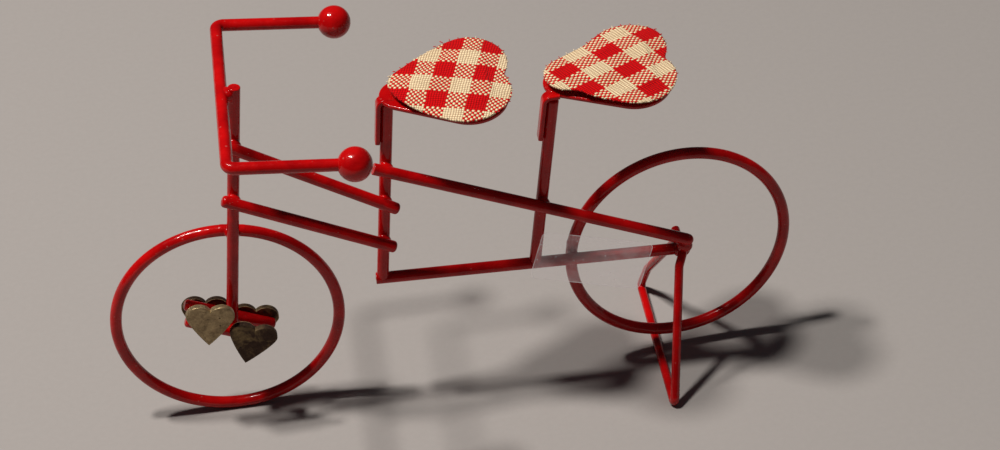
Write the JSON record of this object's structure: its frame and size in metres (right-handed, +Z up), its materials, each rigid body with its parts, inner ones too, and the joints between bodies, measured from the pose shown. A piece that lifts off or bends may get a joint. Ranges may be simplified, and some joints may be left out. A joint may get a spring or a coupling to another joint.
{
  "type": "miniature tandem bicycle",
  "caption": "Ornament tandem bicycle of soldered red round wire with spokeless wheels, heart seats in gingham, brass heart pedals and a wire stand.",
  "frame": {"origin": "on the floor under the middle of the bicycle, midway between the two ends of its length and on the centre plane of the posts", "axes": "the bicycle faces -X, its left side is -Y, +Z is up"},
  "size_m": [0.1168, 0.0452, 0.068],
  "materials": {
    "red_paint": "gloss",
    "aged_brass": "satin",
    "gingham": "matte",
    "padding": "matte",
    "clear_film": "gloss"
  },
  "bodies": {
    "frame": {"steering_post": "red_paint", "front_seat_post": "red_paint", "rear_seat_post": "red_paint", "upper_front_tube": "red_paint", "lower_front_tube": "red_paint", "long_top_tube": "red_paint", "bottom_tube": "red_paint", "rear_hub_sleeve": "red_paint", "solder_joints": "red_paint", "front_wheel_ring": "red_paint", "rear_wheel_ring": "red_paint", "handlebar": "red_paint", "left_grip_ball": "red_paint", "right_grip_ball": "red_paint", "clear_label": "clear_film", "front_seat_pan": "red_paint", "front_seat_pad": "padding", "front_seat_cover": "gingham", "rear_seat_pan": "red_paint", "rear_seat_pad": "padding", "rear_seat_cover": "gingham"},
    "stand": {"stand_wire": "red_paint"},
    "crank": {"left_crank_bar": "red_paint", "right_crank_bar": "red_paint", "crank_pin": "red_paint", "left_front_pedal": "aged_brass", "left_rear_pedal": "aged_brass", "right_front_pedal": "aged_brass", "right_rear_pedal": "aged_brass"}
  },
  "joints": [
    {"name": "pedal_crank", "type": "hinge", "parent": "frame", "child": "crank", "pos_m": [-0.03805, 0, 0.0203], "axis": [0, 1, 0], "continuous": true},
    {"name": "stand_fold", "type": "hinge", "parent": "frame", "child": "stand", "pos_m": [0.0386, 0, 0.0241], "axis": [0, -1, 0], "range_deg": [0, 110]}
  ]
}
